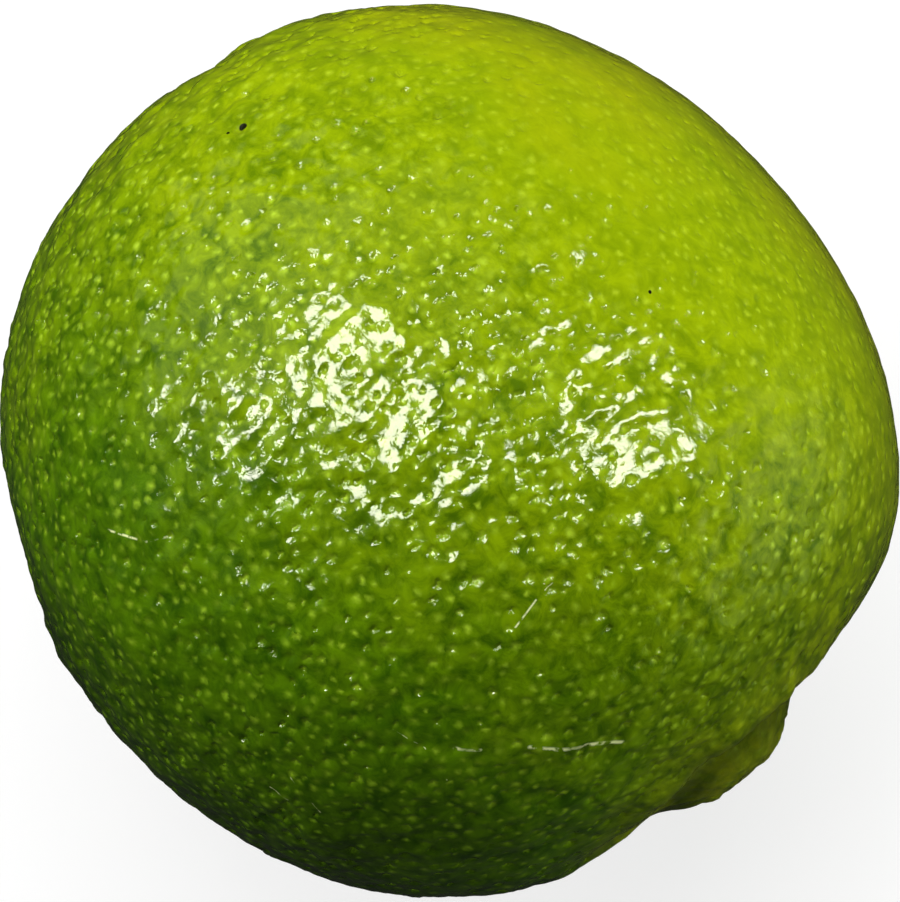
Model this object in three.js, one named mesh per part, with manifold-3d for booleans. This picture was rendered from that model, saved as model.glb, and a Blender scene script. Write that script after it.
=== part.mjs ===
// A whole lime lying on its side, picked with its stem button on. Millimetres, +Z up.
// Its core line runs along X, from the stem end at -X to the nipple at +X, and the origin is the middle of
// the small flat spot that the fruit rests on.
// Two angles name a place on the rind: the polar angle, which is 0 at the nipple, and the turn round the core
// line, which is 0 at the top of the fruit and a quarter turn at its +Y side.
import * as THREE from "three";
import { mergeVertices } from "three/addons/utils/BufferGeometryUtils.js";
import Module from "manifold-3d";

const { clamp, degToRad, lerp, radToDeg, smoothstep } = THREE.MathUtils;

// Body of the fruit, measured from the middle of its girth
const GIRTH_RADIUS = 25.0;
const HEIGHT_SHARE = 0.985; // its height over its width
const STEM_REACH = 26.1; // to the stem end, before the hollow is sunk in
const BLOSSOM_REACH = 24.8; // to the blossom end, before the nipple is raised
const STEM_FULLNESS = 2.05; // 2 is an ellipse, and more is squarer
const BLOSSOM_FULLNESS = 2.45;
const BELLY = 1.7; // how far the girth bellies out to -Y of the core line

// The uneven growth of the body, in degrees and millimetres. A height is how far the rind swells out, or is
// pressed in where it is negative.
const SWELLS = [
  { polar: 84, turn: 90, height: 0.75, spread: 21 },
  { polar: 146, turn: 90, height: -0.6, spread: 20 },
  { polar: 20, turn: 90, height: -0.4, spread: 9 },
  { polar: 38, turn: 90, height: 0.35, spread: 12 },
  { polar: 148, turn: -90, height: 0.6, spread: 20 },
  { polar: 112, turn: -90, height: -0.45, spread: 14 },
  { polar: 30, turn: -90, height: 0.75, spread: 12 },
  { polar: 68, turn: -90, height: -0.3, spread: 14 },
  { polar: 62, turn: 12, height: 0.3, spread: 20 },
  { polar: 108, turn: -30, height: -0.25, spread: 16 },
  { polar: 120, turn: 40, height: 0.2, spread: 18 },
  { polar: 60, turn: 150, height: -0.4, spread: 20 },
  { polar: 112, turn: 200, height: 0.3, spread: 18 },
  { polar: 130, turn: 150, height: 0.3, spread: 16 },
];

// Blossom end, where radii are distances from the core line
const NIPPLE_HEIGHT = 1.7;
const NIPPLE_RADIUS = 4.1;
const NIPPLE_STEEPNESS = 2.8;
const NIPPLE_FURROW = { depth: 0.4, radius: 5.9, width: 1.3 };
const STYLE_SCAR = { depth: 0.25, radius: 0.8 };
const WRINKLES = { depth: 0.3, start: 5.0, peak: 8.0, end: 16.0 };

// Stem end: a hollow for the button, and furrows that cross its rim
const HOLLOW = { depth: 1.3, radius: 3.6, steepness: 6 };
const STEM_FURROWS = [
  { turn: 18, depth: 1.0 },
  { turn: 86, depth: 0.45 },
  { turn: 148, depth: 0.6 },
  { turn: 212, depth: 0.5 },
  { turn: 278, depth: 0.35 },
];
const STEM_FURROW_SPREAD = { radius: 5.4, width: 2.8, turn: 15 };

// The stem button in the hollow
const BUTTON_GAP = 0.3; // kept clear between the two solids
const BUTTON_RADIUS = 2.2; // between the tips and the notches of its lobes
const BUTTON_THICKNESS = 0.7;
const BUTTON_LOBES = 5;
const LOBE_REACH = 0.4; // how far a tip stands out past BUTTON_RADIUS, and a notch goes in
const STUB_RADIUS = 1.1;
const STUB_HEIGHT = 0.6; // above the button's own face

// The flat spot under the fruit, as the height of the slice that it takes off
const REST_SLICE = 0.4;

// Mesh detail
const FRUIT_RINGS = 52;
const FRUIT_SEGMENTS = 96;
const RING_CROWDING = 0.45; // 0 spaces the rings evenly, and more draws them towards the two ends
const BUTTON_SEGMENTS = 60;
const SAME_PLACE = 1e-4;

const RIND_COLOUR = "#7d9c12";
const BUTTON_COLOUR = "#8c8448";

// A ridge or groove of height 1 along one value of a distance or an angle.
function band(value, middle, width) {
  return Math.exp(-(((value - middle) / width) ** 2));
}

// A direction from the middle of the girth.
function direction(polar, turn) {
  const across = Math.sin(polar);
  return new THREE.Vector3(Math.cos(polar), across * Math.sin(turn), across * Math.cos(turn));
}

// The body's outline as a rounded box of two fullnesses, one for each end.
function bodyRadius(polar) {
  const along = Math.cos(polar);
  const reach = along < 0 ? STEM_REACH : BLOSSOM_REACH;
  const fullness = lerp(STEM_FULLNESS, BLOSSOM_FULLNESS, smoothstep(along, -0.5, 0.5));
  const lengthwise = (Math.abs(along) / reach) ** fullness;
  const sideways = (Math.sin(polar) / GIRTH_RADIUS) ** fullness;
  return (lengthwise + sideways) ** (-1 / fullness);
}

// The sum of all swells and dents in one direction.
function unevenness(polar, turn) {
  const towards = direction(polar, turn);
  return SWELLS.reduce((sum, swell) => {
    const apart = towards.angleTo(direction(degToRad(swell.polar), degToRad(swell.turn)));
    return sum + swell.height * band(radToDeg(apart), 0, swell.spread);
  }, 0);
}

// Shallow folds that run out from the nipple and die away on the shoulder.
function wrinkles(distance, turn) {
  const { depth, start, peak, end } = WRINKLES;
  const strength = smoothstep(distance, start, peak) * (1 - smoothstep(distance, peak, end));
  const broad = 0.5 * Math.sin(7 * turn + 1.0) + 0.3 * Math.sin(4 * turn + 0.5);
  const fine = 0.35 * Math.sin(11 * turn + 2.2);
  return depth * strength * (broad + fine);
}

function blossomRelief(distance, turn) {
  const nipple = NIPPLE_HEIGHT * Math.exp(-((distance / NIPPLE_RADIUS) ** NIPPLE_STEEPNESS));
  const uneven = 1 + 0.4 * Math.sin(turn + 0.2) + 0.15 * Math.sin(3 * turn + 1.1);
  const furrow = NIPPLE_FURROW.depth * uneven * band(distance, NIPPLE_FURROW.radius, NIPPLE_FURROW.width);
  const scar = STYLE_SCAR.depth * band(distance, 0, STYLE_SCAR.radius);
  return nipple - furrow - scar + wrinkles(distance, turn);
}

function stemRelief(distance, turn) {
  const hollow = HOLLOW.depth * Math.exp(-((distance / HOLLOW.radius) ** HOLLOW.steepness));
  const furrows = STEM_FURROWS.reduce((sum, furrow) => {
    const apart = turn - degToRad(furrow.turn);
    const aside = radToDeg(Math.atan2(Math.sin(apart), Math.cos(apart)));
    return sum + furrow.depth * band(aside, 0, STEM_FURROW_SPREAD.turn);
  }, 0);
  return -hollow - furrows * band(distance, STEM_FURROW_SPREAD.radius, STEM_FURROW_SPREAD.width);
}

// A point of the rind, with the middle of the girth at the origin.
function rindPoint(polar, turn) {
  const body = bodyRadius(polar);
  const distance = body * Math.sin(polar);
  const relief = Math.cos(polar) > 0 ? blossomRelief(distance, turn) : stemRelief(distance, turn);
  const point = direction(polar, turn).multiplyScalar(body + relief + unevenness(polar, turn));
  point.z *= HEIGHT_SHARE;
  point.y -= BELLY * Math.sin(polar) ** 2;
  return point;
}

// Polar angles of the rings, closer together near the two ends.
function ringAngles() {
  return Array.from({ length: FRUIT_RINGS + 1 }, (_, ring) => {
    const share = ring / FRUIT_RINGS;
    return Math.PI * share - (RING_CROWDING / 2) * Math.sin(2 * Math.PI * share);
  });
}

// A closed geometry with only shared positions, as manifold-3d needs it.
function welded(geometry) {
  geometry.deleteAttribute("normal");
  geometry.deleteAttribute("uv");
  return mergeVertices(geometry, SAME_PLACE);
}

// A lathed half circle, each point of which is then moved to its place on the rind.
function rindGeometry() {
  const halfCircle = ringAngles().map((polar) => new THREE.Vector2(Math.sin(polar), -Math.cos(polar)));
  halfCircle[0].x = 0;
  halfCircle[FRUIT_RINGS].x = 0;
  const geometry = new THREE.LatheGeometry(halfCircle, FRUIT_SEGMENTS);
  const place = geometry.getAttribute("position");
  const point = new THREE.Vector3();
  for (let i = 0; i < place.count; i++) {
    point.fromBufferAttribute(place, i);
    const polar = Math.acos(clamp(-point.y, -1, 1));
    const turn = Math.atan2(point.x, point.z);
    place.setXYZ(i, ...rindPoint(polar, turn).toArray());
  }
  return welded(geometry);
}

const wasm = await Module();
wasm.setup();

function solidFrom(geometry) {
  return new wasm.Manifold(
    new wasm.Mesh({
      numProp: 3,
      vertProperties: new Float32Array(geometry.getAttribute("position").array),
      triVerts: new Uint32Array(geometry.index.array),
    }),
  );
}

function geometryFrom(solid) {
  const mesh = solid.getMesh();
  const geometry = new THREE.BufferGeometry();
  geometry.setAttribute("position", new THREE.BufferAttribute(mesh.vertProperties, 3));
  geometry.setIndex(new THREE.BufferAttribute(mesh.triVerts, 1));
  geometry.computeVertexNormals();
  return geometry;
}

// The fruit with its flat spot sliced off, and the middle of that spot.
function fruitWithRest() {
  const rind = rindGeometry();
  rind.computeBoundingBox();
  const restHeight = rind.boundingBox.min.z + REST_SLICE;
  const side = 4 * GIRTH_RADIUS;
  const below = welded(new THREE.BoxGeometry(side, side, side));
  below.translate(0, 0, restHeight - side / 2);
  const geometry = geometryFrom(solidFrom(rind).subtract(solidFrom(below)));
  const spot = new THREE.Box3();
  const place = geometry.getAttribute("position");
  const point = new THREE.Vector3();
  for (let i = 0; i < place.count; i++) {
    point.fromBufferAttribute(place, i);
    if (Math.abs(point.z - restHeight) < SAME_PLACE) spot.expandByPoint(point);
  }
  return { geometry, spotMiddle: spot.getCenter(new THREE.Vector3()) };
}

// Half the section of the stem button, from its underside to the end of the stub.
function buttonProfile() {
  const stubEnd = BUTTON_THICKNESS + STUB_HEIGHT;
  return [
    [0, 0],
    [0.55 * BUTTON_RADIUS, 0],
    [0.9 * BUTTON_RADIUS, 0.12 * BUTTON_THICKNESS],
    [BUTTON_RADIUS, 0.35 * BUTTON_THICKNESS],
    [0.92 * BUTTON_RADIUS, 0.7 * BUTTON_THICKNESS],
    [0.7 * BUTTON_RADIUS, BUTTON_THICKNESS],
    [1.12 * STUB_RADIUS, BUTTON_THICKNESS],
    [STUB_RADIUS, stubEnd - 0.7 * STUB_HEIGHT],
    [0.94 * STUB_RADIUS, stubEnd],
    [0.5 * STUB_RADIUS, stubEnd - 0.15 * STUB_HEIGHT],
    [0, stubEnd - 0.2 * STUB_HEIGHT],
  ].map(([across, along]) => new THREE.Vector2(across, along));
}

// The stem button: a thin lobed calyx and the clipped stalk in one. It is lathed about Y, its rim is drawn
// out into lobes, and then it is turned to point along -X.
function buttonGeometry() {
  const geometry = new THREE.LatheGeometry(buttonProfile(), BUTTON_SEGMENTS);
  const place = geometry.getAttribute("position");
  for (let i = 0; i < place.count; i++) {
    const x = place.getX(i);
    const z = place.getZ(i);
    const distance = Math.hypot(x, z);
    const lobe = Math.cos(BUTTON_LOBES * Math.atan2(x, z));
    const drawn = LOBE_REACH * lobe * smoothstep(distance, 1.2 * STUB_RADIUS, BUTTON_RADIUS);
    const share = distance > 0 ? (distance + drawn) / distance : 1;
    place.setX(i, x * share);
    place.setZ(i, z * share);
  }
  const closed = welded(geometry);
  closed.rotateZ(Math.PI / 2);
  closed.computeVertexNormals();
  return closed;
}

function piece(name, geometry, color, roughness) {
  const mesh = new THREE.Mesh(geometry, new THREE.MeshStandardMaterial({ color, roughness, metalness: 0 }));
  mesh.name = name;
  return mesh;
}

const { geometry: fruitGeometry, spotMiddle } = fruitWithRest();
const fruit = piece("fruit", fruitGeometry, RIND_COLOUR, 0.3);

const stemButton = piece("stem_button", buttonGeometry(), BUTTON_COLOUR, 0.85);
stemButton.position.x = -(STEM_REACH - HOLLOW.depth + BUTTON_GAP);

const lime = new THREE.Group();
lime.name = "lime";
lime.add(fruit, stemButton);
lime.children.forEach((child) => child.position.sub(spotMiddle));

export default lime;
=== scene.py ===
# A whole fresh lime lying on its side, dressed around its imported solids. Metres, +Z up.
# The core line of the fruit runs along X: the nipple is at +X, and the stem button in its hollow at -X.
import math

import bpy
import numpy as np
from mathutils import Matrix, Vector, kdtree, noise


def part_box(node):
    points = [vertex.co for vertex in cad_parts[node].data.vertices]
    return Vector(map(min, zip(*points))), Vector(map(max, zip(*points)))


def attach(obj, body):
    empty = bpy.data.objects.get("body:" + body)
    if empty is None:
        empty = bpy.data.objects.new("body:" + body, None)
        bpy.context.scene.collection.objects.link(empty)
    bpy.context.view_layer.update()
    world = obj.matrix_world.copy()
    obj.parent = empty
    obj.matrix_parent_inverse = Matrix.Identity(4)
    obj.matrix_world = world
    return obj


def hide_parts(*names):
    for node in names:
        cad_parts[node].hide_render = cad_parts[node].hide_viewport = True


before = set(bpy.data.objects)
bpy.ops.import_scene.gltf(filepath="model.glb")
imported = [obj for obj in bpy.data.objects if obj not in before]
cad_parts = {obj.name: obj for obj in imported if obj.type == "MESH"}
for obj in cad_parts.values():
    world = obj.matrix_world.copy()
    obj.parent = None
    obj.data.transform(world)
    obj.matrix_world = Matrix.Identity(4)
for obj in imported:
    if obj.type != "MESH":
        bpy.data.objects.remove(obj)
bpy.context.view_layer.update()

MM = 0.001
SEED = 11
MERGE_DISTANCE = 0.001 * MM
ROUNDING_LEVELS = 2
LEAST_DISTANCE = 0.1 * MM  # from the core line, so that nothing is divided by 0

# Places from the frame
FRUIT_LOW, FRUIT_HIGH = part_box("fruit")
BUTTON_LOW, BUTTON_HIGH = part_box("stem_button")
FRUIT_MIDDLE = (FRUIT_LOW + FRUIT_HIGH) / 2
FRUIT_SIZE = FRUIT_HIGH - FRUIT_LOW
LOBE_TIP = 2.6 * MM  # from the core line to the tip of a stem button lobe, one of which points straight up
BUTTON_GAP = 0.3 * MM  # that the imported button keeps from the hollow, and the dressed one closes
CORE_Y = (BUTTON_LOW.y + BUTTON_HIGH.y) / 2
CORE_Z = BUTTON_HIGH.z - LOBE_TIP
HOLLOW_FLOOR = BUTTON_HIGH.x + BUTTON_GAP

# The photograph's view, in degrees, millimetres and pixels
VIEW_AZIMUTH = 50
VIEW_ELEVATION = 80
CAMERA_DISTANCE = 260 * MM
PHOTO_WIDTH = 900
PHOTO_HEIGHT = 902
PIXELS_PER_MM = 17.015  # at the middle of the fruit
MIDDLE_PIXEL = (440.9, 449.2)  # where the photograph has the middle of the fruit
SENSOR_WIDTH = 36.0
NEAREST_SEEN = 10 * MM

# Oil glands of the rind. A gland is a dimple in the rind with a pale dot in it.
GLAND_SPHERE_LEVEL = 6  # gives 10242 glands, a little under 1 mm apart
GLAND_SPACING = 0.95 * MM
GLAND_JITTER = 0.16  # of the spacing, as a standard deviation
CUTS_BETWEEN_GLANDS = 2
DIMPLE_DEPTH = 0.13 * MM
DEEP_SHARE = 0.40  # of the glands are sunk about that deep, and the others much less
SHALLOW = 0.22  # of that depth
RAISED_SHARE = 0.12  # of the glands stand out a little instead
DEPTH_SPREAD = 0.28  # of a gland's own depth, as a standard deviation
DEPTH_LIMITS = (0.3, 1.8)
PORE_WIDTH = 1.35  # of the sharper pit in the bottom of a dimple, in widths of the gland's dot
PORE_DEPTH = 0.10 * MM
DOT_RADIUS = (0.22 * MM, 0.44 * MM)
DOT_PALENESS = {"shape": 2.6, "scale": 0.22, "least": 0.05}  # most dots are faint, a few pale
UNEVEN_OUTLINE = {"length": 0.9 * MM, "shift": 0.22 * MM}  # of a dimple
GIRTHWISE = np.array([1.35, 1.0, 1.0])  # makes a dimple longer round the girth than along the fruit
SMOOTH_FLANK = {"start": 8 * MM, "end": 18 * MM, "relief": 0.28}  # the yellow +Y side is less dimpled
NIPPLE_RELIEF = 0.3  # of the dimples' depth is left at the nipple

# Unevenness of the rind between dimples and body
UNDULATIONS = [
    {"length": 1.8 * MM, "height": 0.07 * MM},
    {"length": 3.6 * MM, "height": 0.12 * MM},
    {"length": 8.0 * MM, "height": 0.14 * MM},
]
GIRTH_FOLDS = {"along": 1.5 * MM, "around": 5.0 * MM, "height": 0.10 * MM}
NIPPLE_FOLDS = {"count": 9, "length": 6 * MM, "height": 0.26 * MM, "inner": 2.5 * MM, "outer": 15 * MM}
NIPPLE_COLLAR = {"height": 0.70 * MM, "radius": 7.5 * MM, "spread": 2.2 * MM}
COLLAR_RISE = (0.1, 1.0)  # of its radius above the core line, over which the collar grows to its height

# Where each relief reads the noise, so that no two are alike
LAYER_STEP = 10.0
UNDULATIONS_NOISE = 0.0
GIRTH_FOLDS_NOISE = 40.0
NIPPLE_FOLDS_NOISE = 70.0
BUTTON_NOISE = 200.0

# Marks on the rind, at the photograph's pixels
SPECKS = [
    {"pixel": (243, 127), "radius": 0.30 * MM},
    {"pixel": (228, 133), "radius": 0.12 * MM},
    {"pixel": (650, 292), "radius": 0.13 * MM},
]
# Pale lines on the rind. Most are scratches, but the two lines at about 745 pixels down are a painted
# highlight: a glint along a fold, painted pale
SCRATCHES_AND_GLINTS = [
    {"pixels": [(108, 530), (145, 542), (167, 537)], "width": 0.09 * MM},
    {"pixels": [(515, 628), (536, 600)], "width": 0.07 * MM},
    {"pixels": [(545, 590), (580, 556)], "width": 0.045 * MM},
    {"pixels": [(455, 748), (480, 750)], "width": 0.15 * MM},
    {"pixels": [(530, 747), (560, 750), (585, 745), (622, 742)], "width": 0.18 * MM},
    {"pixels": [(270, 787), (288, 800)], "width": 0.05 * MM},
    {"pixels": [(290, 777), (323, 815)], "width": 0.05 * MM},
    {"pixels": [(393, 730), (425, 748), (447, 780)], "width": 0.04 * MM},
]

# The stem button: half its section in millimetres, as distances from the core line and heights above the
# hollow's floor, from the middle of the cut stalk down its side, over the calyx and back underneath
BUTTON_VERTICES = 60
CUT_FACE = [(0.30, 1.50), (0.66, 1.54), (0.92, 1.59), (1.03, 1.58)]
STUB_SIDE = [(1.08, 1.50), (1.09, 1.30), (1.05, 1.12), (1.16, 1.02)]
CALYX_TOP = [(1.45, 0.97), (1.75, 0.93), (2.00, 0.85), (2.15, 0.72), (2.20, 0.60)]
CALYX_UNDERSIDE = [(2.14, 0.50), (1.80, 0.42), (1.30, 0.24), (0.80, 0.02)]
CALYX_LOBES = 5
LOBE_INNER = 1.25 * MM
LOBE_RADIUS = 2.2 * MM
LOBE_REACH = 0.4 * MM
LOBE_LENGTHS = (0.72, 1.0)  # of that reach
LOBE_ROUNDNESS = 0.8  # a lobe is blunter the lower this is
LOBE_CURL = 0.20 * MM  # how far the tip of a lobe bends at most
LOBE_BENDS = (-1.0, 0.35)  # of that, towards the fruit where below 0, or away from it
BUTTON_ROUGHNESS = [
    {"length": 1.4 * MM, "height": 0.14 * MM},
    {"length": 0.3 * MM, "height": 0.025 * MM},
]


def select_only(piece):
    bpy.ops.object.select_all(action="DESELECT")
    piece.select_set(True)
    bpy.context.view_layer.objects.active = piece


def finish_with(piece, kind, **settings):
    """Adds a modifier and applies it at once."""
    select_only(piece)
    modifier = piece.modifiers.new(kind.lower(), kind)
    for key, value in settings.items():
        setattr(modifier, key, value)
    bpy.ops.object.modifier_apply(modifier=modifier.name)


def merge_doubles(piece, distance):
    select_only(piece)
    bpy.ops.object.mode_set(mode="EDIT")
    bpy.ops.mesh.select_all(action="SELECT")
    bpy.ops.mesh.remove_doubles(threshold=distance)
    bpy.ops.object.mode_set(mode="OBJECT")


def vertex_places(piece):
    places = np.empty(len(piece.data.vertices) * 3)
    piece.data.vertices.foreach_get("co", places)
    return places.reshape(-1, 3)


def vertex_normals(piece):
    normals = np.empty(len(piece.data.vertices) * 3, np.float32)
    piece.data.vertex_normals.foreach_get("vector", normals)
    return normals.reshape(-1, 3)


def move_vertices(piece, places):
    piece.data.vertices.foreach_set("co", np.ascontiguousarray(places).ravel())
    piece.data.update()


def rise(value, start, end):
    """From 0 at the start to 1 at the end, with no corner at either."""
    share = np.clip((value - start) / (end - start), 0, 1)
    return share * share * (3 - 2 * share)


def noise_at(points, offset):
    """Smooth noise, about -1 to 1 and with waves about 2 long, at each of the points."""
    return np.array([noise.noise(Vector(point) + Vector((offset, 0, 0))) for point in points])


def waves_at(places, waves, offset):
    """The sum of several layers of noise, each with its own length and height."""
    layers = [
        wave["height"] * noise_at(places * (2 / wave["length"]), offset + LAYER_STEP * order)
        for order, wave in enumerate(waves)
    ]
    return np.sum(layers, axis=0)


def seen_place(piece, pixel):
    """The place on a piece that the photograph shows at a pixel."""
    right, up, back = view_axes()
    eye = FRUIT_MIDDLE + back * CAMERA_DISTANCE
    along = (pixel[0] - MIDDLE_PIXEL[0]) / PIXELS_PER_MM * MM
    down = (pixel[1] - MIDDLE_PIXEL[1]) / PIXELS_PER_MM * MM
    bpy.context.view_layer.update()
    _, place, _, _ = piece.ray_cast(eye, FRUIT_MIDDLE + right * along - up * down - eye)
    return place


# The fruit

def smooth_fruit_form():
    """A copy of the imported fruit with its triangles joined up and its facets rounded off."""
    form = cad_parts["fruit"].copy()
    form.data = form.data.copy()
    form.parent = None
    form.name = "fruit_form"
    bpy.context.scene.collection.objects.link(form)
    merge_doubles(form, MERGE_DISTANCE)
    finish_with(form, "SUBSURF", levels=ROUNDING_LEVELS, render_levels=ROUNDING_LEVELS)
    return form


def gland_sphere(form):
    """A closed skin on the fruit's form, with a vertex for each gland first and finer ones between them."""
    bpy.ops.object.select_all(action="DESELECT")
    bpy.ops.mesh.primitive_ico_sphere_add(
        subdivisions=GLAND_SPHERE_LEVEL, radius=FRUIT_SIZE.x, location=FRUIT_MIDDLE
    )
    skin = bpy.context.object
    bpy.ops.object.transform_apply(location=True)
    finish_with(skin, "SHRINKWRAP", target=form, wrap_method="PROJECT", use_negative_direction=True)
    gland_count = len(skin.data.vertices)
    chance = np.random.default_rng(SEED)
    places = vertex_places(skin)
    move_vertices(skin, places + chance.normal(0, GLAND_JITTER * GLAND_SPACING, places.shape))
    select_only(skin)
    bpy.ops.object.mode_set(mode="EDIT")
    bpy.ops.mesh.select_all(action="SELECT")
    bpy.ops.mesh.subdivide(number_cuts=CUTS_BETWEEN_GLANDS, smoothness=0)
    bpy.ops.object.mode_set(mode="OBJECT")
    finish_with(skin, "SHRINKWRAP", target=form, wrap_method="NEAREST_SURFACEPOINT")
    return skin, gland_count


def gland_tree(glands):
    tree = kdtree.KDTree(len(glands))
    for index, place in enumerate(glands * GIRTHWISE):
        tree.insert(place, index)
    tree.balance()
    return tree


def gland_heights(gland_count):
    """How far each gland stands out, or is sunk where it is negative, as a share of the dimples' depth."""
    chance = np.random.default_rng(SEED + 1)
    deep = chance.random(gland_count) < DEEP_SHARE
    raised = ~deep & (chance.random(gland_count) < RAISED_SHARE)
    size = np.clip(chance.normal(1.0, DEPTH_SPREAD, gland_count), *DEPTH_LIMITS)
    return np.where(deep, -1.0, np.where(raised, SHALLOW, -SHALLOW)) * size


def dimples(places, heights, tree):
    """How far the dimples sink or raise each vertex."""
    nearest = np.empty(len(places), int)
    share = np.empty(len(places))
    noise.seed_set(SEED)  # without it, noise_vector is different at each run
    shifts = [noise.noise_vector(Vector(place) / UNEVEN_OUTLINE["length"]) for place in places]
    for index, place in enumerate(places * GIRTHWISE + UNEVEN_OUTLINE["shift"] * np.array(shifts)):
        (_, first, near), (_, _, far) = tree.find_n(place, 2)
        nearest[index] = first
        share[index] = near / (near + far)
    return DIMPLE_DEPTH * heights[nearest] * (1 - rise(share, 0.0, 0.5))


def mark_glands(rind, glands, heights, tree):
    """Stores where each face lies from its nearest gland, and that gland's height and dot."""
    chance = np.random.default_rng(SEED + 2)
    paleness = chance.gamma(DOT_PALENESS["shape"], DOT_PALENESS["scale"], len(glands))
    paleness = np.clip(paleness, DOT_PALENESS["least"], 1)
    radius = chance.uniform(*DOT_RADIUS, len(glands))
    mesh = rind.data
    corners = np.empty(len(mesh.loops), int)
    mesh.loops.foreach_get("vertex_index", corners)
    corners = vertex_places(rind)[corners].reshape(-1, 3, 3)
    nearest = np.array([tree.find(place)[1] for place in corners.mean(axis=1) * GIRTHWISE])
    offsets = corners - glands[nearest][:, None]
    attribute = mesh.attributes.new("from_gland", "FLOAT_VECTOR", "CORNER")
    attribute.data.foreach_set("vector", offsets.astype(np.float32).ravel())
    for name, value in (("gland_height", heights), ("gland_paleness", paleness), ("dot_radius", radius)):
        attribute = mesh.attributes.new(name, "FLOAT", "FACE")
        attribute.data.foreach_set("value", value[nearest].astype(np.float32))


def girth_folds(places):
    length = np.array([GIRTH_FOLDS["along"], GIRTH_FOLDS["around"], GIRTH_FOLDS["around"]])
    return GIRTH_FOLDS["height"] * noise_at(places * 2 / length, GIRTH_FOLDS_NOISE)


def nipple_folds(places):
    """Folds that run out from the nipple over the shoulder."""
    across = places[:, 1:] - np.array([CORE_Y, CORE_Z])
    distance = np.linalg.norm(across, axis=1)
    around = across / np.maximum(distance, LEAST_DISTANCE)[:, None] * NIPPLE_FOLDS["count"]
    along = distance[:, None] / NIPPLE_FOLDS["length"]
    folds = noise_at(np.hstack([along, around]), NIPPLE_FOLDS_NOISE)
    inner, outer = NIPPLE_FOLDS["inner"], NIPPLE_FOLDS["outer"]
    near = rise(distance, 0, inner) * (1 - rise(distance, inner, outer))
    at_nipple_end = rise(places[:, 0], FRUIT_MIDDLE.x, FRUIT_HIGH.x)
    return NIPPLE_FOLDS["height"] * near * at_nipple_end * folds


def nipple_collar(places):
    """A low roll of the shoulder round the upper side of the nipple."""
    across = places[:, 1:] - np.array([CORE_Y, CORE_Z])
    distance = np.linalg.norm(across, axis=1)
    roll = np.exp(-(((distance - NIPPLE_COLLAR["radius"]) / NIPPLE_COLLAR["spread"]) ** 2))
    upper = rise(across[:, 1] / NIPPLE_COLLAR["radius"], *COLLAR_RISE)
    at_nipple_end = rise(places[:, 0], FRUIT_MIDDLE.x, FRUIT_HIGH.x)
    return NIPPLE_COLLAR["height"] * roll * upper * at_nipple_end


def relief_share(places):
    """1 on most of the rind, and less on its smooth flank and near the nipple."""
    flank = rise(places[:, 1] - CORE_Y, SMOOTH_FLANK["start"], SMOOTH_FLANK["end"])
    from_core = np.linalg.norm(places[:, 1:] - np.array([CORE_Y, CORE_Z]), axis=1)
    nipple = 1 - rise(from_core, NIPPLE_FOLDS["inner"], NIPPLE_FOLDS["outer"])
    nipple = nipple * (places[:, 0] > FRUIT_MIDDLE.x)
    return (1 - (1 - SMOOTH_FLANK["relief"]) * flank) * (1 - (1 - NIPPLE_RELIEF) * nipple)


def make_rind():
    form = smooth_fruit_form()
    rind, gland_count = gland_sphere(form)
    rind.name = "rind"
    bpy.data.objects.remove(form)

    places = vertex_places(rind)
    glands = places[:gland_count]
    tree = gland_tree(glands)
    heights = gland_heights(gland_count) * relief_share(glands)
    mark_glands(rind, glands, heights, tree)
    relief = waves_at(places, UNDULATIONS, UNDULATIONS_NOISE) + girth_folds(places)
    relief = relief * relief_share(places)
    relief += dimples(places, heights, tree) + nipple_folds(places) + nipple_collar(places)
    places = places + vertex_normals(rind) * relief[:, None]
    places[:, 2] = np.maximum(places[:, 2], FRUIT_LOW.z)
    move_vertices(rind, places)
    select_only(rind)
    bpy.ops.object.shade_smooth()
    return rind


# The stem button

def draw_out_rings(profile):
    """In edit mode, extrudes the open rim of a disc through (radius, height) rings along -X."""
    bpy.ops.mesh.select_all(action="DESELECT")
    bpy.ops.mesh.select_mode(type="EDGE")
    bpy.ops.mesh.select_non_manifold(
        extend=False, use_wire=False, use_boundary=True, use_multi_face=False, use_non_contiguous=False,
        use_verts=False,
    )
    for (radius, height), (next_radius, next_height) in zip(profile, profile[1:]):
        step = (height - next_height) * MM
        bpy.ops.mesh.extrude_edges_move(TRANSFORM_OT_translate={"value": (step, 0, 0)})
        widen = next_radius / radius
        centre = (HOLLOW_FLOOR - next_height * MM, CORE_Y, CORE_Z)
        bpy.ops.transform.resize(value=(1, widen, widen), center_override=centre)
    bpy.ops.mesh.merge(type="CENTER")
    bpy.ops.mesh.select_all(action="SELECT")
    bpy.ops.mesh.normals_make_consistent(inside=False)


def draw_out_lobes(places):
    """Draws the calyx's rim out into uneven lobes with notches between them, and bends their tips."""
    chance = np.random.default_rng(SEED + 3)
    reach = chance.uniform(*LOBE_LENGTHS, CALYX_LOBES)
    curl = chance.uniform(*LOBE_BENDS, CALYX_LOBES)
    across = places[:, 1:] - np.array([CORE_Y, CORE_Z])
    distance = np.linalg.norm(across, axis=1)
    turn = np.arctan2(across[:, 0], across[:, 1]) * CALYX_LOBES / (2 * math.pi)
    lobe = np.round(turn).astype(int) % CALYX_LOBES
    from_tip = 2 * np.abs(turn - np.round(turn))
    shape = 2 * np.cos(from_tip * math.pi / 2) ** LOBE_ROUNDNESS - 1
    outwards = rise(distance, LOBE_INNER, LOBE_RADIUS)
    drawn = LOBE_REACH * outwards * np.where(shape > 0, shape * reach[lobe], shape)
    share = 1 + drawn / np.maximum(distance, LEAST_DISTANCE)
    moved = places.copy()
    moved[:, 1:] = np.array([CORE_Y, CORE_Z]) + across * share[:, None]
    moved[:, 0] -= LOBE_CURL * outwards * np.clip(shape, 0, 1) * curl[lobe]
    return moved


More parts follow.
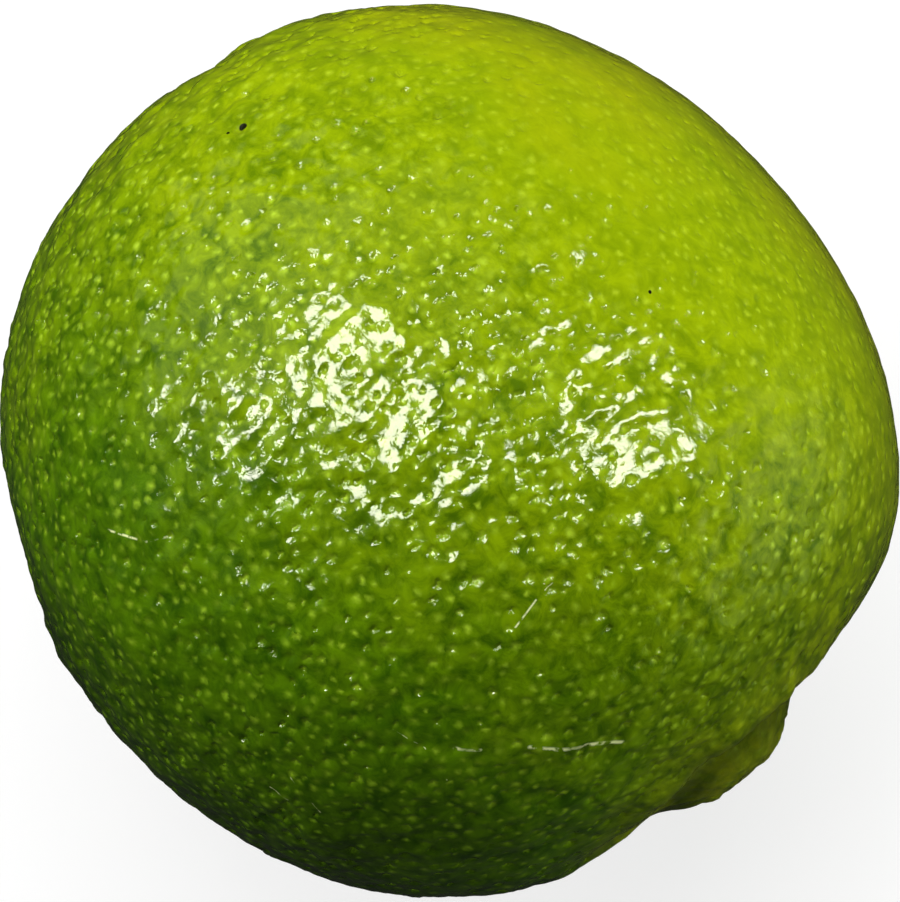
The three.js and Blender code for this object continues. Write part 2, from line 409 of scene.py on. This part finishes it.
def make_stem_button():
    profile = CUT_FACE + STUB_SIDE + CALYX_TOP + CALYX_UNDERSIDE
    radius, height = profile[0]
    bpy.ops.object.select_all(action="DESELECT")
    bpy.ops.mesh.primitive_circle_add(
        vertices=BUTTON_VERTICES, radius=radius * MM, fill_type="TRIFAN",
        location=(HOLLOW_FLOOR - height * MM, CORE_Y, CORE_Z), rotation=(0, -math.pi / 2, 0),
    )
    button = bpy.context.object
    button.name = "dry_stem_button"
    bpy.ops.object.transform_apply(location=True, rotation=True)
    bpy.ops.object.mode_set(mode="EDIT")
    draw_out_rings(profile)
    bpy.ops.object.mode_set(mode="OBJECT")
    move_vertices(button, draw_out_lobes(vertex_places(button)))
    finish_with(button, "SUBSURF", levels=ROUNDING_LEVELS, render_levels=ROUNDING_LEVELS)
    places = vertex_places(button)
    relief = waves_at(places, BUTTON_ROUGHNESS, BUTTON_NOISE)
    move_vertices(button, places + vertex_normals(button) * relief[:, None])
    select_only(button)
    bpy.ops.object.shade_smooth()
    return button


# Materials

def new_material(name):
    material = bpy.data.materials.new(name)
    material.use_nodes = True
    tree = material.node_tree
    return material, tree, tree.nodes["Principled BSDF"]


def add_node(tree, kind, sockets=None, **settings):
    """Adds a node. A socket's value is either another node's output or a plain value."""
    node = tree.nodes.new(kind)
    for key, value in settings.items():
        setattr(node, key, value)
    for key, value in (sockets or {}).items():
        if isinstance(value, bpy.types.NodeSocket):
            tree.links.new(value, node.inputs[key])
        else:
            node.inputs[key].default_value = value
    return node


def add_ramp(tree, factor, stops):
    """A colour ramp through (position, colour) stops. A colour is linear red, green and blue."""
    node = add_node(tree, "ShaderNodeValToRGB", {"Fac": factor})
    ramp = node.color_ramp
    while len(ramp.elements) < len(stops):
        ramp.elements.new(0.5)
    for element, (position, colour) in zip(ramp.elements, stops):
        element.position = position
        element.color = (*colour, 1)
    return node.outputs["Color"]


def add_noise(tree, place, wavelength, detail=2.0, roughness=0.5, distortion=0.0, output="Fac"):
    sockets = {
        "Vector": place,
        "Scale": 1 / wavelength,
        "Detail": detail,
        "Roughness": roughness,
        "Distortion": distortion,
    }
    return add_node(tree, "ShaderNodeTexNoise", sockets).outputs[output]


def add_range(tree, value, low, high, to_low=0.0, to_high=1.0, smooth=False):
    sockets = {"Value": value, "From Min": low, "From Max": high, "To Min": to_low, "To Max": to_high}
    style = "SMOOTHSTEP" if smooth else "LINEAR"
    return add_node(tree, "ShaderNodeMapRange", sockets, interpolation_type=style).outputs["Result"]


def add_maths(tree, operation, first, second=0.0):
    node = add_node(tree, "ShaderNodeMath", {0: first, 1: second}, operation=operation)
    return node.outputs[0]


def add_mix(tree, factor, first, second, blend="MIX"):
    node = add_node(tree, "ShaderNodeMix", data_type="RGBA", blend_type=blend)
    for socket, value in ((0, factor), (6, first), (7, second)):
        if isinstance(value, bpy.types.NodeSocket):
            tree.links.new(value, node.inputs[socket])
        else:
            node.inputs[socket].default_value = value if socket == 0 else (*value, 1)
    return node.outputs[2]


def add_vector(tree, operation, first, second=None):
    node = add_node(tree, "ShaderNodeVectorMath", operation=operation)
    for socket, value in enumerate((first, second)):
        if isinstance(value, bpy.types.NodeSocket):
            tree.links.new(value, node.inputs[socket])
        elif value is not None:
            node.inputs[socket].default_value = value
    return node.outputs["Value" if operation in ("DOT_PRODUCT", "LENGTH", "DISTANCE") else "Vector"]


# Rind colours, from the dark green side to the sunny yellow side. These are partly real ripening and partly
# painted shade: the rind is made darker towards the side away from the light. All colours are linear.
RIND_COLOURS = [
    (0.00, (0.033, 0.082, 0.0005)),
    (0.25, (0.072, 0.176, 0.0008)),
    (0.50, (0.166, 0.275, 0.0008)),
    (0.75, (0.256, 0.365, 0.0012)),
    (0.86, (0.268, 0.380, 0.0015)),
    (1.00, (0.375, 0.440, 0.0020)),
]
DOT_COLOURS = [
    (0.00, (0.170, 0.340, 0.010)),
    (0.50, (0.420, 0.620, 0.025)),
    (1.00, (0.560, 0.680, 0.020)),
]
# The yellow side is also the side the main lights come from, so the darkening away from it is partly
# painted shade
YELLOW_AND_LIT_SIDE = Vector((-0.32, 0.935, 0.145))
PATCH_NOISE = {"wavelength": 9 * MM, "detail": 3}
PATCH_SPREAD = (0.3, 0.7)  # of the noise, from the least ripe patches to the ripest
PATCH_RIPENESS = 0.08  # by which these differ from the rind round them
MOTTLE_NOISE = {"wavelength": 1.4 * MM, "detail": 5, "roughness": 0.65, "distortion": 0.5}
MOTTLE_SHADES = [(0.35, (0.42, 0.54, 0.5)), (0.65, (1.50, 1.38, 1.3))]
MOTTLE_FADE = {"unripe": 0.55, "ripe": 0.90, "left": 0.25}
DOT_FADE = {"unripe": 0.55, "ripe": 0.95, "left": 0.45}
DOT_WOBBLE = 0.5 * MM  # of a dot's outline, in length and in reach
DOT_MIDDLE = 0.15  # of a dot's radius, within which it is palest
PORE_FALLOFF = 1.5  # of dots and pores from their middle

# Round the nipple and the button, by distance from the core line
END_BLEND = 4 * MM  # along the fruit, from its middle, over which the marks of an end set in
NIPPLE_OLIVE = {"from": 14 * MM, "to": 2.5 * MM, "most": 0.8, "colour": (0.240, 0.290, 0.006)}
NIPPLE_STREAKS = {"from": 16 * MM, "to": 9 * MM, "most": 0.9, "around": 7, "outwards": 420}
STREAK_NOISE = {"wavelength": 1.0, "detail": 4, "roughness": 0.6, "distortion": 0.6}
STREAK_SHADES = [(0.30, (0.56, 0.62, 0.5)), (0.70, (1.42, 1.30, 1.2))]
STREAK_START = {"inner": 2.5 * MM, "outer": 8 * MM, "least": 0.3}
# Painted shade: a dark ring that stands in for the shade in the furrow round the nipple
NIPPLE_FURROW_SHADE = {
    "radius": 4.6 * MM, "from": 2.5 * MM, "to": 0.4 * MM, "most": 0.75, "colour": (0.030, 0.055, 0.001),
}
FURROW_SHADE_SPREAD = (0.35, 0.65)  # of the patches' noise, from the faintest parts of the furrow's painted shade to its darkest
FURROW_SHADE_LEAST = 0.45  # of the painted shade's tone, in its faintest parts
STYLE_SCAR = {
    "from": 1.25 * MM, "to": 0.85 * MM, "most": 0.85, "uneven": 1.2 * MM, "colour": (0.120, 0.085, 0.030),
}
STEM_HOLLOW = {"from": 5.5 * MM, "to": 2.6 * MM, "most": 0.7, "colour": (0.170, 0.190, 0.012)}
DOTS_LEFT_AT_ENDS = 0.40

SPECK_BLACK = (0.010, 0.012, 0.003)
SPECK_MIDDLE = 0.7  # of its radius, within which a speck is full
# Partly a scratch's own pale colour and partly a painted highlight, where a line glints
SCRATCH_AND_GLINT_PALE = (0.850, 0.920, 0.420)
PALE_LINE_MIDDLE = 0.3  # of its width, within which a pale line is full
PALE_LINE_GAPS = {"length": 0.5 * MM, "from": 0.42, "to": 0.54}

# Wax with a fine grain over a matt rind
RIND_ROUGHNESS = 0.30
RIND_HAZE = 0.07
HAZE_TINT = (0.80, 1.00, 0.12, 1)
WAX_ROUGHNESS = 0.10
WAX_IOR = 1.5
GRAIN_NOISE = {"wavelength": 0.5 * MM, "detail": 3, "roughness": 0.55, "distortion": 0.4}
GRAIN_DEPTH = 0.025 * MM


def read_attribute(tree, name, output="Fac"):
    return add_node(tree, "ShaderNodeAttribute", attribute_name=name).outputs[output]


def add_within(tree, distance, zone):
    """How far a zone's tone covers the place: nothing at its edge, and the most further in."""
    return add_range(tree, distance, zone["from"], zone["to"], 0, zone["most"], True)


def add_rays(tree, across, rays):
    """Places for a noise that changes fast round the core line and slowly outwards from it."""
    around = add_vector(tree, "MULTIPLY", add_vector(tree, "NORMALIZE", across), (rays["around"],) * 3)
    outwards = add_vector(tree, "MULTIPLY", across, (rays["outwards"],) * 3)
    return add_vector(tree, "ADD", around, outwards)


def add_largest(tree, values):
    largest = values[0]
    for value in values[1:]:
        largest = add_maths(tree, "MAXIMUM", largest, value)
    return largest


def add_speck(tree, place, centre, radius):
    """How far a small speck covers the place."""
    distance = add_vector(tree, "DISTANCE", place, centre)
    return add_range(tree, distance, radius, SPECK_MIDDLE * radius, 0, 1, True)


def add_line(tree, place, start, end, width):
    """How far a thin line between two places covers the place."""
    along = end - start
    from_start = add_vector(tree, "SUBTRACT", place, start)
    share = add_vector(tree, "DOT_PRODUCT", from_start, along / along.length_squared)
    share = add_range(tree, share, 0.0, 1.0)
    nearest = add_node(tree, "ShaderNodeVectorMath", {0: along, "Scale": share}, operation="SCALE")
    distance = add_vector(tree, "DISTANCE", from_start, nearest.outputs["Vector"])
    return add_range(tree, distance, width, PALE_LINE_MIDDLE * width)


def add_marks(tree, place, colour, rind):
    """Black specks, and pale lines that break off here and there: scratches, and painted highlights where a
    line glints.
    """
    specks = [add_speck(tree, place, seen_place(rind, speck["pixel"]), speck["radius"]) for speck in SPECKS]
    colour = add_mix(tree, add_largest(tree, specks), colour, SPECK_BLACK)
    lines = []
    for pale_line in SCRATCHES_AND_GLINTS:
        ends = [seen_place(rind, pixel) for pixel in pale_line["pixels"]]
        for start, end in zip(ends, ends[1:]):
            lines.append(add_line(tree, place, start, end, pale_line["width"]))
    gaps = add_noise(tree, place, PALE_LINE_GAPS["length"])
    gaps = add_range(tree, gaps, PALE_LINE_GAPS["from"], PALE_LINE_GAPS["to"])
    # Pale lines: scratches, and painted highlights where a line glints
    scratched_and_glinting = add_maths(tree, "MULTIPLY", add_largest(tree, lines), gaps)
    return add_mix(tree, scratched_and_glinting, colour, SCRATCH_AND_GLINT_PALE)


def add_dots_and_pores(tree, place, ripeness_and_shade):
    """How far a gland's pale dot covers the place, and how high or low the place lies in its pore."""
    wobble = add_noise(tree, place, DOT_WOBBLE, output="Color")
    wobble = add_vector(tree, "SUBTRACT", wobble, (0.5, 0.5, 0.5))
    wobble = add_vector(tree, "MULTIPLY", wobble, (DOT_WOBBLE, DOT_WOBBLE, DOT_WOBBLE))
    from_gland = add_vector(tree, "ADD", read_attribute(tree, "from_gland", "Vector"), wobble)
    radius = read_attribute(tree, "dot_radius")

    dot = add_maths(tree, "DIVIDE", add_vector(tree, "LENGTH", from_gland), radius)
    dot = add_maths(tree, "POWER", add_range(tree, dot, 1.0, DOT_MIDDLE, 0, 1), PORE_FALLOFF)
    dot = add_maths(tree, "MULTIPLY", dot, read_attribute(tree, "gland_paleness"))
    fade = add_range(tree, ripeness_and_shade, DOT_FADE["unripe"], DOT_FADE["ripe"], 1.0, DOT_FADE["left"])
    dot = add_maths(tree, "MULTIPLY", dot, fade)

    stretched = add_vector(tree, "MULTIPLY", from_gland, tuple(GIRTHWISE))
    pore = add_maths(tree, "DIVIDE", add_vector(tree, "LENGTH", stretched), radius)
    pore = add_maths(tree, "POWER", add_range(tree, pore, PORE_WIDTH, 0.0), PORE_FALLOFF)
    pore = add_maths(tree, "MULTIPLY", pore, read_attribute(tree, "gland_height"))
    return dot, pore


def waxy_rind(rind):
    material, tree, skin = new_material("waxy_rind")
    place = add_node(tree, "ShaderNodeTexCoord").outputs["Object"]
    from_middle = add_vector(tree, "SUBTRACT", place, FRUIT_MIDDLE)

    # How ripe the rind is, from its sunny side and broad patches. The sunny side's share is partly painted
    # shade: the rind gets darker towards the side away from the light.
    sunny_and_lit = add_vector(tree, "DOT_PRODUCT", from_middle, YELLOW_AND_LIT_SIDE)
    sunny_and_lit = add_range(tree, sunny_and_lit, -FRUIT_SIZE.y / 2, FRUIT_SIZE.y / 2)
    patches = add_noise(tree, place, **PATCH_NOISE)
    ripeness_and_shade = add_range(tree, patches, *PATCH_SPREAD, -PATCH_RIPENESS, PATCH_RIPENESS)
    ripeness_and_shade = add_maths(tree, "ADD", sunny_and_lit, ripeness_and_shade)
    green = add_ramp(tree, ripeness_and_shade, RIND_COLOURS)

    # Mottling between the glands, which fades towards the ripe, lit side
    uneven = add_noise(tree, place, **MOTTLE_NOISE)
    mottle = add_ramp(tree, uneven, MOTTLE_SHADES)
    unripe = add_range(tree, ripeness_and_shade, MOTTLE_FADE["unripe"], MOTTLE_FADE["ripe"], 1.0, MOTTLE_FADE["left"])
    green = add_mix(tree, unripe, green, add_mix(tree, 1.0, green, mottle, "MULTIPLY"))

    # How near the place is to the nipple and to the stem button
    across = add_vector(tree, "SUBTRACT", place, (0, CORE_Y, CORE_Z))
    across = add_vector(tree, "MULTIPLY", across, (0, 1, 1))
    distance = add_vector(tree, "LENGTH", across)
    end_on = add_node(tree, "ShaderNodeSeparateXYZ", {"Vector": from_middle}).outputs["X"]
    nipple_end = add_range(tree, end_on, 0.0, END_BLEND)
    stem_end = add_range(tree, end_on, 0.0, -END_BLEND)
    near_nipple = add_maths(tree, "MULTIPLY", add_within(tree, distance, NIPPLE_STREAKS), nipple_end)
    near_button = add_maths(tree, "MULTIPLY", add_within(tree, distance, STEM_HOLLOW), stem_end)

    # The olive nipple, the glands' dots, fainter near both ends, and the olive hollow
    olive = add_mix(tree, 1.0, NIPPLE_OLIVE["colour"], mottle, "MULTIPLY")
    nipple = add_maths(tree, "MULTIPLY", add_within(tree, distance, NIPPLE_OLIVE), nipple_end)
    green = add_mix(tree, nipple, green, olive)
    dot, pore = add_dots_and_pores(tree, place, ripeness_and_shade)
    near_end = add_maths(tree, "MAXIMUM", near_nipple, near_button)
    dot = add_maths(tree, "MULTIPLY", dot, add_range(tree, near_end, 0, 1, 1, DOTS_LEFT_AT_ENDS))
    green = add_mix(tree, dot, green, add_ramp(tree, ripeness_and_shade, DOT_COLOURS))
    green = add_mix(tree, near_button, green, STEM_HOLLOW["colour"])

    # Streaks that run out from the nipple, painted shade in the furrow round it and the scar of the
    # flower's style on it
    streaked = add_range(
        tree, distance, STREAK_START["inner"], STREAK_START["outer"], STREAK_START["least"], 1, True
    )
    streaked = add_maths(tree, "MULTIPLY", near_nipple, streaked)
    streaks = add_noise(tree, add_rays(tree, across, NIPPLE_STREAKS), **STREAK_NOISE)
    streaks = add_ramp(tree, streaks, STREAK_SHADES)
    green = add_mix(tree, streaked, green, add_mix(tree, 1.0, green, streaks, "MULTIPLY"))
    # Painted shade in the furrow round the nipple, darker in some patches than others
    from_furrow = add_maths(tree, "SUBTRACT", distance, NIPPLE_FURROW_SHADE["radius"])
    furrow_shade = add_within(tree, add_maths(tree, "ABSOLUTE", from_furrow), NIPPLE_FURROW_SHADE)
    furrow_shade_tone = add_range(tree, patches, *FURROW_SHADE_SPREAD, FURROW_SHADE_LEAST, 1.0)
    furrow_shade = add_maths(tree, "MULTIPLY", furrow_shade, furrow_shade_tone)
    green = add_mix(tree, add_maths(tree, "MULTIPLY", furrow_shade, nipple_end), green, NIPPLE_FURROW_SHADE["colour"])
    ragged = add_maths(tree, "ADD", distance, add_maths(tree, "MULTIPLY", uneven, STYLE_SCAR["uneven"]))
    scar = add_maths(tree, "MULTIPLY", add_within(tree, ragged, STYLE_SCAR), nipple_end)
    green = add_mix(tree, scar, green, STYLE_SCAR["colour"])

    green = add_marks(tree, place, green, rind)
    tree.links.new(green, skin.inputs["Base Color"])

    skin.inputs["Roughness"].default_value = RIND_ROUGHNESS
    skin.inputs["Specular IOR Level"].default_value = RIND_HAZE
    skin.inputs["Specular Tint"].default_value = HAZE_TINT
    skin.inputs["Coat Weight"].default_value = 1.0
    skin.inputs["Coat Roughness"].default_value = WAX_ROUGHNESS
    skin.inputs["Coat IOR"].default_value = WAX_IOR
    grain = add_noise(tree, place, **GRAIN_NOISE)
    pores = add_node(tree, "ShaderNodeBump", {"Height": pore, "Strength": 1.0, "Distance": PORE_DEPTH})
    sockets = {"Height": grain, "Strength": 1.0, "Distance": GRAIN_DEPTH, "Normal": pores.outputs["Normal"]}
    bump = add_node(tree, "ShaderNodeBump", sockets)
    tree.links.new(bump.outputs["Normal"], skin.inputs["Normal"])
    tree.links.new(bump.outputs["Normal"], skin.inputs["Coat Normal"])
    return material


# Colours of the stem button, and its zones by distance from the core line and from the hollow's floor
CALYX_BROWN = (0.125, 0.095, 0.028)
CALYX_GREEN = (0.200, 0.190, 0.050)
CALYX_EDGE = (0.330, 0.280, 0.110)
STALK_BARK = (0.150, 0.130, 0.045)
STALK_WOOD = (0.520, 0.455, 0.230)
STALK_PITH = (0.260, 0.190, 0.090)
FIBRES = {"around": 12, "outwards": 700}
FIBRE_NOISE = {"wavelength": 1.0, "detail": 4, "roughness": 0.65}
FIBRE_SHADES = [(0.3, (0.55, 0.55, 0.5)), (0.7, (1.35, 1.3, 1.25))]
BLOTCH_NOISE = {"wavelength": 0.8 * MM, "detail": 4, "roughness": 0.6}
BLOTCH_COLOURS = [(0.35, CALYX_BROWN), (0.65, CALYX_GREEN)]
RING_NOISE = {"wavelength": 0.25 * MM, "detail": 4, "roughness": 0.7}
RING_COLOURS = [(0.3, STALK_PITH), (0.6, STALK_WOOD)]
WORN_EDGE = {"from": 1.9 * MM, "to": 2.5 * MM, "most": 0.65}
PITH = {"from": 0.42 * MM, "to": 0.25 * MM, "most": 0.8}
BARK = {"from": 0.86 * MM, "to": 0.98 * MM, "most": 1}
ON_STALK = {"from": -1.00 * MM, "to": -1.15 * MM, "most": 1}
ON_CUT = {"from": -1.30 * MM, "to": -1.42 * MM, "most": 1}
BUTTON_DULLNESS = 0.82
BUTTON_SHEEN = 0.3
FIBRE_DEPTH = 0.05 * MM


def dry_button():
    material, tree, skin = new_material("dry_button")
    place = add_node(tree, "ShaderNodeTexCoord").outputs["Object"]
    from_floor = add_vector(tree, "SUBTRACT", place, (HOLLOW_FLOOR, CORE_Y, CORE_Z))
    across = add_vector(tree, "MULTIPLY", from_floor, (0, 1, 1))
    distance = add_vector(tree, "LENGTH", across)
    below = add_node(tree, "ShaderNodeSeparateXYZ", {"Vector": from_floor}).outputs["X"]

    # Calyx: fibres that run outwards, brown to green, with worn pale edges
    fibres = add_noise(tree, add_rays(tree, across, FIBRES), **FIBRE_NOISE)
    fibre_shade = add_ramp(tree, fibres, FIBRE_SHADES)
    blotches = add_noise(tree, place, **BLOTCH_NOISE)
    calyx = add_ramp(tree, blotches, BLOTCH_COLOURS)
    calyx = add_mix(tree, 1.0, calyx, fibre_shade, "MULTIPLY")
    worn = add_maths(tree, "MULTIPLY", add_within(tree, distance, WORN_EDGE), blotches)
    calyx = add_mix(tree, worn, calyx, CALYX_EDGE)

    # Stalk: bark round the side, pale wood with growth rings on the cut, and a darker pith
    rings = add_noise(tree, across, **RING_NOISE)
    wood = add_ramp(tree, rings, RING_COLOURS)
    wood = add_mix(tree, add_within(tree, distance, PITH), wood, STALK_PITH)
    wood = add_mix(tree, add_within(tree, distance, BARK), wood, STALK_BARK)
    bark = add_mix(tree, 1.0, STALK_BARK, fibre_shade, "MULTIPLY")
    colour = add_mix(tree, add_within(tree, below, ON_STALK), calyx, bark)
    colour = add_mix(tree, add_within(tree, below, ON_CUT), colour, wood)
    tree.links.new(colour, skin.inputs["Base Color"])

    skin.inputs["Roughness"].default_value = BUTTON_DULLNESS
    skin.inputs["Specular IOR Level"].default_value = BUTTON_SHEEN
    height = add_maths(tree, "ADD", fibres, rings)
    bump = add_node(tree, "ShaderNodeBump", {"Height": height, "Strength": 1.0, "Distance": FIBRE_DEPTH})
    tree.links.new(bump.outputs["Normal"], skin.inputs["Normal"])
    return material


# Stage, lights and camera

def view_axes():
    """The photograph's right, up and towards the camera."""
    azimuth = math.radians(VIEW_AZIMUTH)
    elevation = math.radians(VIEW_ELEVATION)
    right = Vector((math.cos(azimuth), math.sin(azimuth), 0))
    back = Vector((
        math.sin(azimuth) * math.cos(elevation),
        -math.cos(azimuth) * math.cos(elevation),
        math.sin(elevation),
    ))
    return right, back.cross(right), back


def make_camera():
    right, up, back = view_axes()
    data = bpy.data.cameras.new("camera")
    data.sensor_fit = "HORIZONTAL"
    data.sensor_width = SENSOR_WIDTH
    data.lens = PIXELS_PER_MM / MM * CAMERA_DISTANCE * SENSOR_WIDTH / PHOTO_WIDTH
    data.shift_x = (PHOTO_WIDTH / 2 - MIDDLE_PIXEL[0]) / PHOTO_WIDTH
    data.shift_y = (MIDDLE_PIXEL[1] - PHOTO_HEIGHT / 2) / PHOTO_WIDTH
    data.clip_start = NEAREST_SEEN
    camera = bpy.data.objects.new("camera", data)
    bpy.context.scene.collection.objects.link(camera)
    turn = Matrix((right, up, back)).transposed().to_4x4()
    camera.matrix_world = Matrix.Translation(FRUIT_MIDDLE + back * CAMERA_DISTANCE) @ turn
    bpy.context.scene.camera = camera


# A light's place is given along the photograph's right, up and towards the camera. A wash lights matt
# surfaces, and its power is the brightness of a white one that faces it. A gleam shows only in gloss, and
# its power is its own brightness.
WASHES = [
    {"name": "ceiling", "towards": (-0.045, 0.765, 0.643), "size": (0.9, 0.9), "power": 1.17},
    {"name": "right_wall", "towards": (1.0, -0.12, -0.05), "size": (0.9, 0.6), "power": 1.46},
    {"name": "left_wall", "towards": (-0.94, 0.07, 0.33), "size": (0.9, 0.6), "power": 0.50},
    {"name": "window_wash", "towards": (-0.356, 0.28, 0.90), "size": (0.5, 0.5), "power": 0.20},
    {"name": "front_wall", "towards": (0.0, -0.97, 0.26), "size": (0.9, 0.4), "power": 0.03},
]
GLEAMS = [
    {"name": "window", "towards": (-0.356, 0.28, 0.90), "size": (0.33, 0.28), "roll": 35, "power": 19},
    {"name": "side_window", "towards": (-0.78, 0.08, 0.62), "size": (0.10, 0.14), "roll": 0, "power": 24},
    {"name": "lamp", "towards": (0.63, 0.26, 0.73), "size": (0.13, 0.34), "roll": 10, "power": 20},
    {"name": "curtain", "towards": (-0.70, 0.58, 0.42), "size": (0.60, 0.60), "roll": 20, "power": 0.35},
]
GLEAM_COLOUR = (1.0, 0.97, 0.88)
WASH_DISTANCE = 1.0
GLEAM_DISTANCE = 0.7
ROOM_SEEN = 0.95  # behind the floor
ROOM_FILL = 0.05  # on matt surfaces
ROOM_MIRRORED = 0.015  # in the gloss
FLOOR_SIZE = 6
FLOOR_GREY = (0.24, 0.24, 0.24, 1)
FLOOR_DULLNESS = 0.9
FLOOR_GLOW = 0.77  # under the fruit
FLOOR_BLEND = (0.5, 2.0)  # from the fruit, over which the floor gets as bright as the room


def make_light(spec, distance, energy):
    axes = view_axes()
    towards = sum((axis * share for axis, share in zip(axes, spec["towards"])), Vector()).normalized()
    data = bpy.data.lights.new(spec["name"], "AREA")
    data.shape = "RECTANGLE"
    data.size, data.size_y = spec["size"]
    data.energy = energy
    light = bpy.data.objects.new(spec["name"], data)
    bpy.context.scene.collection.objects.link(light)
    place = Matrix.Translation(FRUIT_MIDDLE + towards * distance)
    facing = towards.to_track_quat("Z", "Y").to_matrix().to_4x4()
    light.matrix_world = place @ facing @ Matrix.Rotation(math.radians(spec.get("roll", 0)), 4, "Z")
    return light


def make_lights():
    for spec in WASHES:
        light = make_light(spec, WASH_DISTANCE, spec["power"] * (math.pi * WASH_DISTANCE) ** 2)
        light.visible_glossy = False
    for spec in GLEAMS:
        width, height = spec["size"]
        light = make_light(spec, GLEAM_DISTANCE, spec["power"] * math.pi * width * height)
        light.visible_diffuse = False
        light.data.color = GLEAM_COLOUR


def make_room():
    """A pale room that is seen bright, and fills and shows in gloss only a little."""
    room = bpy.data.worlds.new("room")
    room.use_nodes = True
    tree = room.node_tree
    path = add_node(tree, "ShaderNodeLightPath")
    strength = add_maths(tree, "MULTIPLY", path.outputs["Is Camera Ray"], ROOM_SEEN - ROOM_FILL)
    strength = add_maths(tree, "ADD", strength, ROOM_FILL)
    gloss = add_maths(tree, "MULTIPLY", path.outputs["Is Glossy Ray"], ROOM_FILL - ROOM_MIRRORED)
    strength = add_maths(tree, "SUBTRACT", strength, gloss)
    tree.nodes["Background"].inputs["Color"].default_value = (1, 1, 1, 1)
    tree.links.new(strength, tree.nodes["Background"].inputs["Strength"])
    bpy.context.scene.world = room
    bpy.context.scene.view_settings.view_transform = "Standard"
    bpy.context.scene.view_settings.look = "None"


def make_floor():
    bpy.ops.object.select_all(action="DESELECT")
    bpy.ops.mesh.primitive_plane_add(size=FLOOR_SIZE, location=(0, 0, 0))
    floor = bpy.context.object
    floor.name = "floor"
    material, tree, paint = new_material("pale_floor")
    paint.inputs["Base Color"].default_value = FLOOR_GREY
    paint.inputs["Emission Color"].default_value = (1, 1, 1, 1)
    place = add_node(tree, "ShaderNodeTexCoord").outputs["Object"]
    glow = add_range(tree, add_vector(tree, "LENGTH", place), *FLOOR_BLEND, FLOOR_GLOW, ROOM_SEEN, True)
    tree.links.new(glow, paint.inputs["Emission Strength"])
    paint.inputs["Roughness"].default_value = FLOOR_DULLNESS
    floor.data.materials.append(material)
    floor.visible_glossy = False
    floor.visible_diffuse = False


make_camera()
make_lights()
make_room()
make_floor()

rind = make_rind()
rind.data.materials.append(waxy_rind(rind))
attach(rind, "root")
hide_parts("fruit")

button = make_stem_button()
button.data.materials.append(dry_button())
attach(button, "root")
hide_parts("stem_button")
